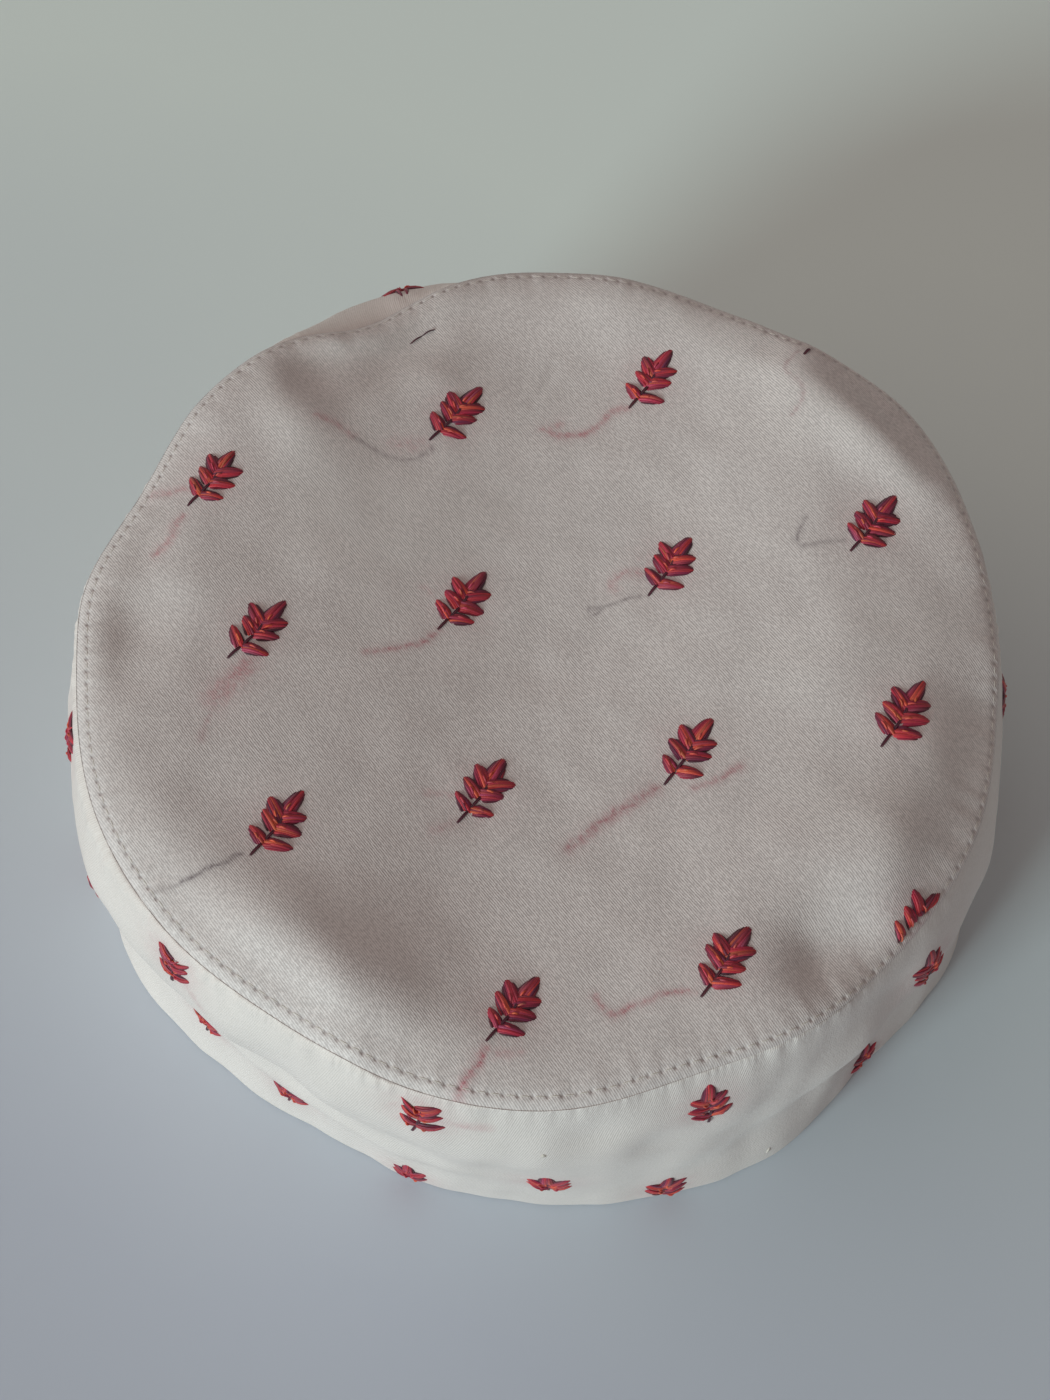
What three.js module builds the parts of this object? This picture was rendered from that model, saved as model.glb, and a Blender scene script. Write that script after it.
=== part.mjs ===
// A soft round cap of embroidered cotton sateen, resting on its rim with the hollow for the head below.
// Two cloth pieces are sewn together: a round crown and the upright band that runs round it.
import * as THREE from 'three';

// Driving dimensions in millimetres, +Z up, with the table at zero height.
const crownRadius = 90;       // middle of the crown to the seam
const bandHeight = 75;        // table to the seam
const crownRise = 3.2;        // top of the soft crown above the seam
const foldDepth = 4;          // a full fold or dent of the cloth
const crownWall = 1.6;        // crown cloth
const bandWall = 1.6;         // band cloth
const lipWidth = 3;           // turned edge of the crown, outside its row of topstitches
const allowanceWidth = 6;     // seam allowance under the crown's edge
const allowanceWall = 0.8;    // what the seam allowance adds to the crown cloth
const hemDepth = 12;          // height of the hem that is turned up inside the band
const hemWall = 0.8;          // what the hem adds to the band cloth
const seamGap = 0.3;          // clearance between the crown's turned edge and the band

// How finely the two walls are cut up.
const AROUND = 96;
const TURN = 360;

// The cap's outline: a row for each section round the cap, at its azimuth in degrees from +X to +Y.
// seam, shoulder, bulge, crease and rim are radii as shares of crownRadius. drop is how far the seam
// hangs below its full height as a share of bandHeight, and shelf is how far down the band its shoulder
// lies, small where the cloth folds outwards right beside the seam.
const sections = [
  { at: -178, seam: 1.0, drop: 0.0, shelf: 0.07, shoulder: 1.015, bulge: 1.06, crease: 1.045, rim: 1.06 },
  { at: -157, seam: 1.008, drop: 0.0, shelf: 0.07, shoulder: 1.025, bulge: 1.048, crease: 1.01, rim: 1.068 },
  { at: -140, seam: 0.998, drop: 0.01, shelf: 0.07, shoulder: 1.015, bulge: 1.03, crease: 0.98, rim: 1.015 },
  { at: -123, seam: 0.982, drop: 0.01, shelf: 0.07, shoulder: 1.002, bulge: 1.01, crease: 0.965, rim: 0.975 },
  { at: -105, seam: 1.004, drop: 0.0, shelf: 0.07, shoulder: 1.018, bulge: 1.03, crease: 1.0, rim: 0.985 },
  { at: -88, seam: 1.012, drop: 0.0, shelf: 0.07, shoulder: 1.02, bulge: 1.045, crease: 1.02, rim: 1.005 },
  { at: -72, seam: 0.988, drop: 0.0, shelf: 0.07, shoulder: 1.004, bulge: 1.035, crease: 1.025, rim: 1.025 },
  { at: -57, seam: 1.005, drop: 0.01, shelf: 0.07, shoulder: 1.015, bulge: 1.025, crease: 1.02, rim: 1.04 },
  { at: -42, seam: 1.0, drop: 0.02, shelf: 0.07, shoulder: 1.012, bulge: 1.02, crease: 0.995, rim: 1.015 },
  { at: -26, seam: 1.012, drop: 0.0, shelf: 0.07, shoulder: 1.026, bulge: 1.055, crease: 1.045, rim: 1.068 },
  { at: -8, seam: 0.998, drop: 0.0, shelf: 0.07, shoulder: 1.012, bulge: 1.042, crease: 1.035, rim: 1.065 },
  { at: 18, seam: 1.008, drop: 0.0, shelf: 0.07, shoulder: 1.018, bulge: 1.035, crease: 1.025, rim: 1.04 },
  { at: 37, seam: 1.028, drop: 0.0, shelf: 0.06, shoulder: 1.036, bulge: 1.034, crease: 1.0, rim: 1.01 },
  { at: 54, seam: 0.972, drop: 0.03, shelf: 0.05, shoulder: 1.0, bulge: 1.02, crease: 0.995, rim: 0.99 },
  { at: 75, seam: 0.992, drop: 0.01, shelf: 0.07, shoulder: 1.006, bulge: 1.03, crease: 1.005, rim: 0.985 },
  { at: 96, seam: 1.021, drop: 0.0, shelf: 0.07, shoulder: 1.03, bulge: 1.04, crease: 1.0, rim: 0.985 },
  { at: 106, seam: 0.995, drop: 0.03, shelf: 0.03, shoulder: 1.03, bulge: 1.042, crease: 1.0, rim: 0.99 },
  { at: 115, seam: 0.956, drop: 0.07, shelf: 0.02, shoulder: 1.03, bulge: 1.045, crease: 1.0, rim: 0.99 },
  { at: 126, seam: 1.01, drop: 0.02, shelf: 0.04, shoulder: 1.032, bulge: 1.042, crease: 1.01, rim: 1.0 },
  { at: 140, seam: 1.01, drop: 0.0, shelf: 0.07, shoulder: 1.02, bulge: 1.035, crease: 1.005, rim: 1.01 },
  { at: 156, seam: 0.98, drop: 0.01, shelf: 0.07, shoulder: 0.998, bulge: 1.025, crease: 1.0, rim: 1.03 },
  { at: 172, seam: 1.014, drop: 0.0, shelf: 0.07, shoulder: 1.025, bulge: 1.05, crease: 1.03, rim: 1.055 },
];

// How far down the band its lower radii are reached, as a share of the way from the seam to the table.
const levels = { bulge: 0.3, crease: 0.62 };

// The crown's section: its middle sags to this share of crownRise, inside the ring that the stiff seam
// holds up at this share of the way to the seam, and from there it rounds down to the seam.
const middleRise = 0.5;
const crownShoulder = 0.8;
const edgeRounding = 2.2;

// Folds and dents of the crown: place by azimuth and reach, lift as a share of foldDepth, half length
// and half width as shares of crownRadius, and the turn of the long side in degrees.
const crownFolds = [
  { name: 'upper right ridge', azimuth: 38, reach: 0.88, lift: 0.8, length: 0.22, width: 0.08, turn: -45 },
  { name: 'upper left dent', azimuth: 116, reach: 0.86, lift: -1.2, length: 0.2, width: 0.11, turn: 18 },
  { name: 'upper left ridge', azimuth: 132, reach: 0.83, lift: 0.7, length: 0.16, width: 0.07, turn: 120 },
  { name: 'left hollow', azimuth: 174, reach: 0.87, lift: -0.7, length: 0.18, width: 0.06, turn: 80 },
  { name: 'lower left ridge', azimuth: -126, reach: 0.84, lift: 0.7, length: 0.36, width: 0.1, turn: -36 },
  { name: 'lower left hollow', azimuth: -110, reach: 0.6, lift: -0.35, length: 0.22, width: 0.14, turn: -30 },
  { name: 'lower right dent', azimuth: -48, reach: 0.87, lift: -0.8, length: 0.13, width: 0.1, turn: -45 },
  { name: 'lower right ridge', azimuth: -33, reach: 0.87, lift: 0.6, length: 0.13, width: 0.08, turn: -50 },
];

// Folds of the band: place by azimuth and share of the way down, lift as a share of foldDepth, half
// length round the band in degrees, half width as a share of the way down, and the rise of the long side
// over its half length, as a share of the way down too.
const bandFolds = [
  { name: 'lower right hollow', azimuth: -46, down: 0.17, lift: -0.45, length: 9, width: 0.12, rise: -0.05 },
  { name: 'lower right ridge', azimuth: -52, down: 0.42, lift: 0.4, length: 22, width: 0.09, rise: 0.14 },
  { name: 'lower right sag', azimuth: -64, down: 0.72, lift: -0.35, length: 14, width: 0.13, rise: 0.1 },
  { name: 'lower left crease', azimuth: -134, down: 0.55, lift: -0.55, length: 26, width: 0.1, rise: 0.06 },
  { name: 'front swell', azimuth: -98, down: 0.3, lift: 0.25, length: 16, width: 0.16, rise: 0.0 },
  { name: 'right crease', azimuth: 6, down: 0.5, lift: -0.4, length: 20, width: 0.1, rise: -0.08 },
  { name: 'back crease', azimuth: 66, down: 0.52, lift: -0.5, length: 24, width: 0.11, rise: 0.08 },
  { name: 'dent crease', azimuth: 114, down: 0.4, lift: -0.5, length: 12, width: 0.16, rise: 0.1 },
  { name: 'left crease', azimuth: 160, down: 0.56, lift: -0.4, length: 18, width: 0.1, rise: -0.06 },
];

// Where the rings of the crown lie, as shares of the way to its turned edge.
const crownRings = [0.12, 0.27, 0.42, 0.55, 0.66, 0.74, 0.8, 0.85, 0.9, 0.94, 0.975];

// Where the rows of the band lie, as shares of the way from its top to the hem.
const bandRows = [0, 0.015, 0.05, 0.11, 0.2, 0.31, 0.43, 0.55, 0.68, 0.82];

const smoothstep = THREE.MathUtils.smoothstep;

// A smooth curve through a table's column; a closed table comes round to its first row again.
function curveThrough(rows, place, column, period = 0) {
  const before = period ? rows.slice(-2).map((row) => [row[place] - period, row[column]]) : [];
  const after = period ? rows.slice(0, 2).map((row) => [row[place] + period, row[column]]) : [];
  const points = [...before, ...rows.map((row) => [row[place], row[column]]), ...after];
  const curve = new THREE.CubicInterpolant(points.map((p) => p[0]), points.map((p) => p[1]), 1, [0]);
  return (at) => curve.evaluate(at)[0];
}

// Each column of the outline as a function of the azimuth in degrees.
const outline = {};
for (const column of ['seam', 'drop', 'shelf', 'shoulder', 'bulge', 'crease', 'rim']) {
  const curve = curveThrough(sections, 'at', column, TURN);
  outline[column] = (azimuth) => curve(THREE.MathUtils.euclideanModulo(azimuth + TURN / 2, TURN) - TURN / 2);
}

function crownRiseAt(reach) {
  const inside = THREE.MathUtils.lerp(middleRise, 1, smoothstep(reach, 0, crownShoulder));
  const beyond = Math.max(0, (reach - crownShoulder) / (1 - crownShoulder));
  return crownRise * inside * (1 - beyond ** edgeRounding);
}

const seamRadius = (azimuth) => crownRadius * outline.seam(azimuth);
const seamHeight = (azimuth) => bandHeight * (1 - outline.drop(azimuth));

// The crown's folds die out before the stiff turned edge that lies over the band.
const foldsStart = 0.87;
const foldsEnd = 1 - (lipWidth + bandWall) / crownRadius;
const lipThickness = crownWall + allowanceWall;

// The crown follows a drop of the seam from this share of the way to the seam.
const dropStart = 0.6;

function crownFoldLift(x, y) {
  let lift = 0;
  for (const fold of crownFolds) {
    const azimuth = THREE.MathUtils.degToRad(fold.azimuth);
    const turn = THREE.MathUtils.degToRad(fold.turn);
    const dx = x / crownRadius - fold.reach * Math.cos(azimuth);
    const dy = y / crownRadius - fold.reach * Math.sin(azimuth);
    const along = (dx * Math.cos(turn) + dy * Math.sin(turn)) / fold.length;
    const across = (dy * Math.cos(turn) - dx * Math.sin(turn)) / fold.width;
    lift += foldDepth * fold.lift * Math.exp(-(along * along) - across * across);
  }
  return lift;
}

// Height of the crown's upper face at a share of the way from its middle to the seam.
function crownTop(azimuth, reach) {
  const angle = THREE.MathUtils.degToRad(azimuth);
  const radius = seamRadius(azimuth) * reach;
  const seam = THREE.MathUtils.lerp(bandHeight, seamHeight(azimuth), smoothstep(reach, dropStart, 1));
  const fade = 1 - smoothstep(reach, foldsStart, foldsEnd);
  const lift = crownFoldLift(radius * Math.cos(angle), radius * Math.sin(angle)) * fade;
  return seam + crownRiseAt(reach) + lift;
}

// Thickness of the crown: one cloth inside, and the turned seam allowance near the seam.
function crownThickness(azimuth, reach) {
  const inside = seamRadius(azimuth) * (1 - reach);
  return crownWall + allowanceWall * (1 - smoothstep(inside, allowanceWidth / 2, allowanceWidth));
}

function bandFoldLift(azimuth, down) {
  let lift = 0;
  for (const fold of bandFolds) {
    const turn = THREE.MathUtils.euclideanModulo(azimuth - fold.azimuth + TURN / 2, TURN) - TURN / 2;
    const along = turn / fold.length;
    const across = (down - fold.down + fold.rise * along) / fold.width;
    lift += foldDepth * fold.lift * Math.exp(-(along * along) - across * across);
  }
  return lift;
}

// The folds of the band leave its two edges as they are.
const bandFoldsFade = 0.12;

// Outer face of the band at a share of the way down, as a radius and a height.
function bandFace(azimuth, down) {
  const top = seamHeight(azimuth) - lipThickness - seamGap;
  const rows = [
    { down: 0, radius: seamRadius(azimuth) - lipThickness / 2 },
    { down: outline.shelf(azimuth), radius: crownRadius * outline.shoulder(azimuth) },
    { down: levels.bulge, radius: crownRadius * outline.bulge(azimuth) },
    { down: levels.crease, radius: crownRadius * outline.crease(azimuth) },
    { down: 1, radius: crownRadius * outline.rim(azimuth) },
  ];
  const fade = smoothstep(down, 0, bandFoldsFade) * smoothstep(1 - down, 0, bandFoldsFade);
  const lift = bandFoldLift(azimuth, down) * fade;
  return new THREE.Vector2(curveThrough(rows, 'down', 'radius')(down) + lift, top * (1 - down));
}

// Inner face of the band: the outer one moved in by the wall, square to the cloth. Its two edges stay
// level with the outer face's, so that the rim is flat.
function bandInside(azimuth, down, wall) {
  const step = 0.01;
  const face = bandFace(azimuth, down);
  const above = bandFace(azimuth, Math.max(0, down - step));
  const below = bandFace(azimuth, Math.min(1, down + step));
  const inward = new THREE.Vector2(below.y - above.y, above.x - below.x).normalize();
  if (down === 0) inward.x = -1;
  if (down === 1) inward.set(-1, 0);
  return face.addScaledVector(inward, wall);
}

// A point of the model from its azimuth, radius and height.
function pointAt(azimuth, radius, height) {
  const angle = THREE.MathUtils.degToRad(azimuth);
  return [radius * Math.cos(angle), radius * Math.sin(angle), height];
}

const azimuthOf = (column) => (column * TURN) / AROUND;

// Triangles between rings of AROUND points each, ring after ring; with closed, the last ring meets the
// first one.
function ringFaces(rings, closed) {
  const faces = [];
  for (let ring = 0; ring < (closed ? rings : rings - 1); ring += 1) {
    const next = (ring + 1) % rings;
    for (let column = 0; column < AROUND; column += 1) {
      const beside = (column + 1) % AROUND;
      const [a, b] = [ring * AROUND + column, ring * AROUND + beside];
      const [c, d] = [next * AROUND + column, next * AROUND + beside];
      faces.push(a, c, b, b, c, d);
    }
  }
  return faces;
}

function solidOf(points, faces) {
  const geometry = new THREE.BufferGeometry();
  geometry.setAttribute('position', new THREE.Float32BufferAttribute(points.flat(), 3));
  geometry.setIndex(faces);
  geometry.computeVertexNormals();
  return geometry;
}

// The crown: its upper face, the rounded turned edge and its under face, closed at both middles.
function crownGeometry() {
  const points = [];
  const edge = (azimuth) => 1 - lipThickness / 2 / seamRadius(azimuth);
  for (const ring of [...crownRings, 1]) {
    for (let column = 0; column < AROUND; column += 1) {
      const azimuth = azimuthOf(column);
      const reach = ring * edge(azimuth);
      points.push(pointAt(azimuth, seamRadius(azimuth) * reach, crownTop(azimuth, reach)));
    }
  }
  for (let column = 0; column < AROUND; column += 1) {
    const azimuth = azimuthOf(column);
    const height = crownTop(azimuth, edge(azimuth)) - lipThickness / 2;
    points.push(pointAt(azimuth, seamRadius(azimuth), height));
  }
  for (const ring of [1, ...crownRings.toReversed()]) {
    for (let column = 0; column < AROUND; column += 1) {
      const azimuth = azimuthOf(column);
      const reach = ring * edge(azimuth);
      const height = crownTop(azimuth, reach) - crownThickness(azimuth, reach);
      points.push(pointAt(azimuth, seamRadius(azimuth) * reach, height));
    }
  }
  const rings = points.length / AROUND;
  const faces = ringFaces(rings, false);
  const topMiddle = points.length;
  const underMiddle = topMiddle + 1;
  points.push([0, 0, crownTop(0, 0)], [0, 0, crownTop(0, 0) - crownThickness(0, 0)]);
  const lastRing = (rings - 1) * AROUND;
  for (let column = 0; column < AROUND; column += 1) {
    const beside = (column + 1) % AROUND;
    faces.push(topMiddle, column, beside);
    faces.push(underMiddle, lastRing + beside, lastRing + column);
  }
  return solidOf(points, faces);
}

// The band: down its outer face to the flat rim, and up its inner face past the hem.
function bandGeometry() {
  const points = [];
  const rows = (azimuth) => {
    const top = bandFace(azimuth, 0).y;
    const hemTop = 1 - hemDepth / top;
    const hemStart = 1 - (hemDepth - hemWall) / top;
    return [...bandRows.map((share) => share * hemTop), hemTop, hemStart, 1];
  };
  const count = bandRows.length + 3;
  for (let row = 0; row < count; row += 1) {
    for (let column = 0; column < AROUND; column += 1) {
      const azimuth = azimuthOf(column);
      const face = bandFace(azimuth, rows(azimuth)[row]);
      points.push(pointAt(azimuth, face.x, face.y));
    }
  }
  for (let row = count - 1; row >= 0; row -= 1) {
    const wall = row >= count - 2 ? bandWall + hemWall : bandWall;
    for (let column = 0; column < AROUND; column += 1) {
      const azimuth = azimuthOf(column);
      const face = bandInside(azimuth, rows(azimuth)[row], wall);
      points.push(pointAt(azimuth, face.x, face.y));
    }
  }
  return solidOf(points, ringFaces(points.length / AROUND, true));
}

function sateen(colour) {
  return new THREE.MeshStandardMaterial({ color: colour, roughness: 0.62, metalness: 0 });
}

function namedMesh(name, geometry, material) {
  const mesh = new THREE.Mesh(geometry, material);
  mesh.name = name;
  return mesh;
}

const cap = new THREE.Group();
cap.name = 'embroidered_cap';
cap.add(namedMesh('crown', crownGeometry(), sateen(0xd8d0ca)));
cap.add(namedMesh('band', bandGeometry(), sateen(0xe2dad2)));

// The origin is under the middle of the cap's own outline.
const middle = new THREE.Box3().setFromObject(cap).getCenter(new THREE.Vector3());
cap.position.set(-middle.x, -middle.y, 0);
cap.updateMatrixWorld(true);

export default cap;
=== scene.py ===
# %% [markdown]
# # An embroidered round cap
# The cap is two pieces of off-white cotton sateen: a round crown, and a band cut on the bias that stands
# under it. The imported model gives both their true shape. This script lays the fine things on them that
# the eye looks for: soft wrinkles, the row of topstitches, the sprigs in red floss, and the weave.

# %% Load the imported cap
import math
import random

import bmesh
import bpy
import numpy as np
from mathutils import Matrix, Vector, noise
from mathutils.bvhtree import BVHTree


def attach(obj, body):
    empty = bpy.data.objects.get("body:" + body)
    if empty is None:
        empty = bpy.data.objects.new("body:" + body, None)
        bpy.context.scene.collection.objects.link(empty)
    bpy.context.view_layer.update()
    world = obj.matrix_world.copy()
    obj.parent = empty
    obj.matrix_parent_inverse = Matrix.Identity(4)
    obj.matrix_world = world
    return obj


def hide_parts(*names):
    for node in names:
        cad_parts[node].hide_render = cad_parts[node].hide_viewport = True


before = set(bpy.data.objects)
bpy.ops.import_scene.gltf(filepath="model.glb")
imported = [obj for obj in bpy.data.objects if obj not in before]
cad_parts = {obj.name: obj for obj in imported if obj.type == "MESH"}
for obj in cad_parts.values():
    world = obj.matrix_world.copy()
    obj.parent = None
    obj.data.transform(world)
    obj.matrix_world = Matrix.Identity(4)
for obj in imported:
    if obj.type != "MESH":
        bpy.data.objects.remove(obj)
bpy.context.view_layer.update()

MM = 0.001

# %% [markdown]
# ## The camera
# The picture was taken from the front, looking down steeply. The camera's height, distance and lens
# follow from the outline of the crown and the even spacing of its sprigs. Blender gives the sensor
# width to the longer side of the picture, here its height.

# %% Place the camera
CAMERA_PLACE = (-2.7, -201.9, 472.1)
CAMERA_ELEVATION = 64.2
CAMERA_LENS = 59.1

camera = bpy.data.objects.new("camera", bpy.data.cameras.new("camera"))
bpy.context.scene.collection.objects.link(camera)
bpy.context.scene.camera = camera
camera.location = Vector(CAMERA_PLACE) * MM
camera.rotation_euler = (math.radians(90 - CAMERA_ELEVATION), 0, 0)
camera.data.sensor_width = 36
camera.data.lens = CAMERA_LENS
print("the camera looks down at", CAMERA_ELEVATION, "degrees")

# %% [markdown]
# ## The light
# Cool daylight comes in low from the front left. It lights the band more than the crown and makes every
# fold of the crown show. The right side of the cap and the table behind it lie in soft shade, which warm
# light from the room fills. A sun lamp with a wide disc stands for the window, a second and much wider one
# for the pale wall on the left, and the world for the rest of the room.

# %% Set up the light
bpy.context.scene.view_settings.view_transform = "Standard"

WARM = (1.0, 0.90, 0.84)


def sun(name, azimuth, elevation, width, energy, colour):
    lamp = bpy.data.objects.new(name, bpy.data.lights.new(name, "SUN"))
    bpy.context.scene.collection.objects.link(lamp)
    lamp.rotation_euler = (math.radians(90 - elevation), 0, math.radians(azimuth + 90))
    lamp.data.angle = math.radians(width)
    lamp.data.energy = energy
    lamp.data.color = colour
    print(name, "stands at azimuth", azimuth, "and elevation", elevation, "degrees")


sun("window", -136, 17, 19, 2.15, (0.82, 1.0, 0.985))
sun("pale_wall", 164, 40, 80, 0.62, WARM)
world = bpy.data.worlds.new("room")
bpy.context.scene.world = world
world.use_nodes = True
world.node_tree.nodes["Background"].inputs["Color"].default_value = (*WARM, 1)
world.node_tree.nodes["Background"].inputs["Strength"].default_value = 0.205

# %% [markdown]
# ## A short way to write materials
# A material is a net of nodes. Sums read best as sums, so one small class wraps a socket and lets the
# plain operators add Math nodes. Every other node comes from one method.

# %% Write node nets as sums


class Wire:
    """The output of a node, which can be added to, multiplied and so on."""

    def __init__(self, finish, socket):
        self.finish, self.socket = finish, socket

    def sum(self, operation, *others):
        node = self.finish.node("ShaderNodeMath", {"operation": operation}, dict(enumerate(others)))
        return Wire(self.finish, node.outputs[0])

    def __add__(self, other):
        return self.sum("ADD", self, other)

    def __radd__(self, other):
        return self.sum("ADD", other, self)

    def __sub__(self, other):
        return self.sum("SUBTRACT", self, other)

    def __rsub__(self, other):
        return self.sum("SUBTRACT", other, self)

    def __mul__(self, other):
        return self.sum("MULTIPLY", self, other)

    def __rmul__(self, other):
        return self.sum("MULTIPLY", other, self)

    def sine(self):
        return self.sum("SINE", self)

    def clamp(self):
        return self.sum("MAXIMUM", self.sum("MINIMUM", self, 1.0), 0.0)


class Finish:
    """One material and the nodes in it."""

    def __init__(self, name):
        self.material = bpy.data.materials.new(name)
        self.material.use_nodes = True
        self.tree = self.material.node_tree
        self.shader = self.tree.nodes["Principled BSDF"]

    def node(self, kind, settings=None, sockets=None):
        node = self.tree.nodes.new(kind)
        for name, value in (settings or {}).items():
            setattr(node, name, value)
        self.plug(node, sockets or {})
        return node

    def plug(self, node, sockets):
        for name, value in sockets.items():
            if isinstance(value, Wire):
                self.tree.links.new(value.socket, node.inputs[name])
            else:
                node.inputs[name].default_value = value

    def out(self, kind, settings=None, sockets=None, output=0):
        return Wire(self, self.node(kind, settings, sockets).outputs[output])

    def noise(self, place, scale, detail=2.0, roughness=0.5):
        return self.out("ShaderNodeTexNoise", None,
                        {"Vector": place, "Scale": scale, "Detail": detail, "Roughness": roughness})

    def mix(self, share, first, second):
        return self.out("ShaderNodeMix", {"data_type": "RGBA"}, {0: share, 6: first, 7: second}, 2)

    def parts(self, place):
        node = self.node("ShaderNodeSeparateXYZ", None, {0: place})
        return [Wire(self, output) for output in node.outputs]

    def place(self, *parts):
        return self.out("ShaderNodeCombineXYZ", None, dict(enumerate(parts)))

    def bump(self, height, strength, distance):
        return self.out("ShaderNodeBump", None,
                        {"Height": height, "Strength": strength, "Distance": distance})


# %% [markdown]
# ## The table
# The cap rests on a plain pale table top. Its colour is painted a little darker and bluer in front, as
# painted fall-off of the light, and a faint unevenness keeps it from looking like a flat card.

# %% Lay the table
TABLE_HALF_SIDE = 3.0

shape = bmesh.new()
bmesh.ops.create_grid(shape, x_segments=2, y_segments=2, size=TABLE_HALF_SIDE)
table_top = bpy.data.objects.new("table_top", bpy.data.meshes.new("table_top"))
bpy.context.scene.collection.objects.link(table_top)
shape.to_mesh(table_top.data)
shape.free()

paint_and_falloff = Finish("table_paint_and_falloff")
spot = paint_and_falloff.out("ShaderNodeTexCoord", output=3)
cloud = paint_and_falloff.noise(spot, 9.0) - 0.5
across, back, _ = paint_and_falloff.parts(spot)
# Painted light: the colour runs from a darker blue in front to pale at the back, standing in for the light
# falling off across the table.
paint_and_falloff.plug(paint_and_falloff.shader, {
    "Base Color": paint_and_falloff.mix((back * 3.3 + across * 1.2 + 0.42 + cloud * 0.3).clamp(),
                            (0.57, 0.61, 0.71, 1), (0.80, 0.865, 0.84, 1)),
    "Roughness": 0.7,
})
table_top.data.materials.append(paint_and_falloff.material)
print("the table top is", 2 * TABLE_HALF_SIDE, "m square")

# %% [markdown]
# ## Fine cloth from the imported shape
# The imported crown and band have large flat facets, as a model for a factory does. Cloth has none. A copy
# of each is joined into quads and rounded by Subdivision Surface, its long edges are cut, and it is
# rounded once more. That gives a mesh fine enough for wrinkles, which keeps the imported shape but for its
# facets.

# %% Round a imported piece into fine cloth
CAP_MIDDLE = Vector((0, 0, 0.04))


def rounded(mesh):
    """The mesh after one step of Catmull and Clark's rounding."""
    helper = bpy.data.objects.new("helper", mesh)
    bpy.context.scene.collection.objects.link(helper)
    step = helper.modifiers.new("round", "SUBSURF")
    step.levels = step.render_levels = 1
    depsgraph = bpy.context.evaluated_depsgraph_get()
    result = bpy.data.meshes.new_from_object(helper.evaluated_get(depsgraph))
    bpy.data.objects.remove(helper)
    return result


def cut_edges(shape, cuts_of):
    """Cuts each edge as often as cuts_of says."""
    wanted = {edge: cuts_of(edge) for edge in shape.edges}
    for cuts in (2, 1):
        edges = [edge for edge, value in wanted.items() if value == cuts]
        bmesh.ops.subdivide_edges(shape, edges=edges, cuts=cuts, use_grid_fill=True)


def middle_of(edge):
    return (edge.verts[0].co + edge.verts[1].co) / 2


def is_outside(edge):
    """True for an edge on the side of the cloth that the eye sees."""
    normal = edge.link_faces[0].normal + edge.link_faces[1].normal
    return normal.z > 0.3 or normal.dot(middle_of(edge) - CAP_MIDDLE) > 0.01


def fine_cloth(node, name, longest, rim_cut=None):
    """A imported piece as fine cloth, whose outer edges are cut to about the longest length, in metres."""
    shape = bmesh.new()
    shape.from_mesh(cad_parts[node].data)
    bmesh.ops.remove_doubles(shape, verts=shape.verts, dist=1e-6)
    bmesh.ops.join_triangles(shape, faces=shape.faces, cmp_seam=False, cmp_sharp=False, cmp_uvs=False,
                             cmp_vcols=False, cmp_materials=False, angle_face_threshold=math.pi,
                             angle_shape_threshold=math.pi)
    if rim_cut:
        bmesh.ops.bisect_plane(shape, geom=shape.verts[:] + shape.edges[:] + shape.faces[:],
                               plane_co=(0, 0, rim_cut), plane_no=(0, 0, 1), dist=1e-7)
    mesh = bpy.data.meshes.new(name)
    shape.to_mesh(mesh)
    shape.free()
    mesh = rounded(mesh)
    shape = bmesh.new()
    shape.from_mesh(mesh)
    cut_edges(shape, lambda edge: min(2, int(edge.calc_length() / longest)) if is_outside(edge) else 0)
    shape.to_mesh(mesh)
    shape.free()
    cloth = bpy.data.objects.new(name, rounded(mesh))
    cloth.data.name = name
    bpy.context.scene.collection.objects.link(cloth)
    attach(cloth, "root")
    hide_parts(node)
    return cloth


def triangles(piece):
    return sum(len(face.vertices) - 2 for face in piece.data.polygons)


crown_cloth = fine_cloth("crown", "crown_cloth", 2.5 * MM)
band_cloth = fine_cloth("band", "band_cloth", 3.3 * MM, rim_cut=1.0 * MM)
for cloth in (crown_cloth, band_cloth):
    print(cloth.name, "has", triangles(cloth), "triangles")

# %% [markdown]
# ## Where the seam runs
# The stitches and the puckers follow the seam, which isn't a true circle. Its radius all round is
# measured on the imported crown, whose outermost points lie on it. The crown's middle isn't quite at the
# origin, so places on the crown are counted from a middle of its own, in millimetres.

# %% Measure the seam
crown_points = np.array([vertex.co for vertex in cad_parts["crown"].data.vertices]) / MM
CENTRE = np.array([0.02, 0.62])


def polar(points):
    """The azimuth in degrees and the radius in millimetres of each point."""
    x, y = points[:, 0] - CENTRE[0], points[:, 1] - CENTRE[1]
    return np.degrees(np.arctan2(y, x)), np.hypot(x, y)


def turn_between(azimuth, other):
    """Degrees from the other azimuth to this one, between -180 and 180."""
    return (azimuth - other + 180) % 360 - 180


azimuth, radius = polar(crown_points)
seam_steps = np.arange(-180, 180, 3.75)
seam_radii = np.array([radius[np.abs(turn_between(azimuth, step)) < 1.0].max() for step in seam_steps])


def seam_radius(azimuth):
    """Millimetres from the middle of the crown to its seam, at an azimuth in degrees."""
    return np.interp(azimuth, seam_steps, seam_radii, period=360)


print("the seam's radius is", seam_radii.min().round(1), "to", seam_radii.max().round(1), "mm")

# %% [markdown]
# ## Moving the points of a cloth
# A cloth simulation would find folds of its own, but the folds of this cap are known from the picture and
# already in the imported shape. What is left are slow swells and small wrinkles. They could be sculpted
# with brushes. Sums over the points of the mesh give the same cloth on every run, so a few helpers read
# the points into a table, in millimetres, and write them back.

# %% Read and move the points of a cloth


def points_of(cloth):
    points = np.zeros(len(cloth.data.vertices) * 3)
    cloth.data.vertices.foreach_get("co", points)
    return points.reshape(-1, 3) / MM


def set_points(cloth, points):
    cloth.data.vertices.foreach_set("co", (points * MM).ravel())
    cloth.data.update()


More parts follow.
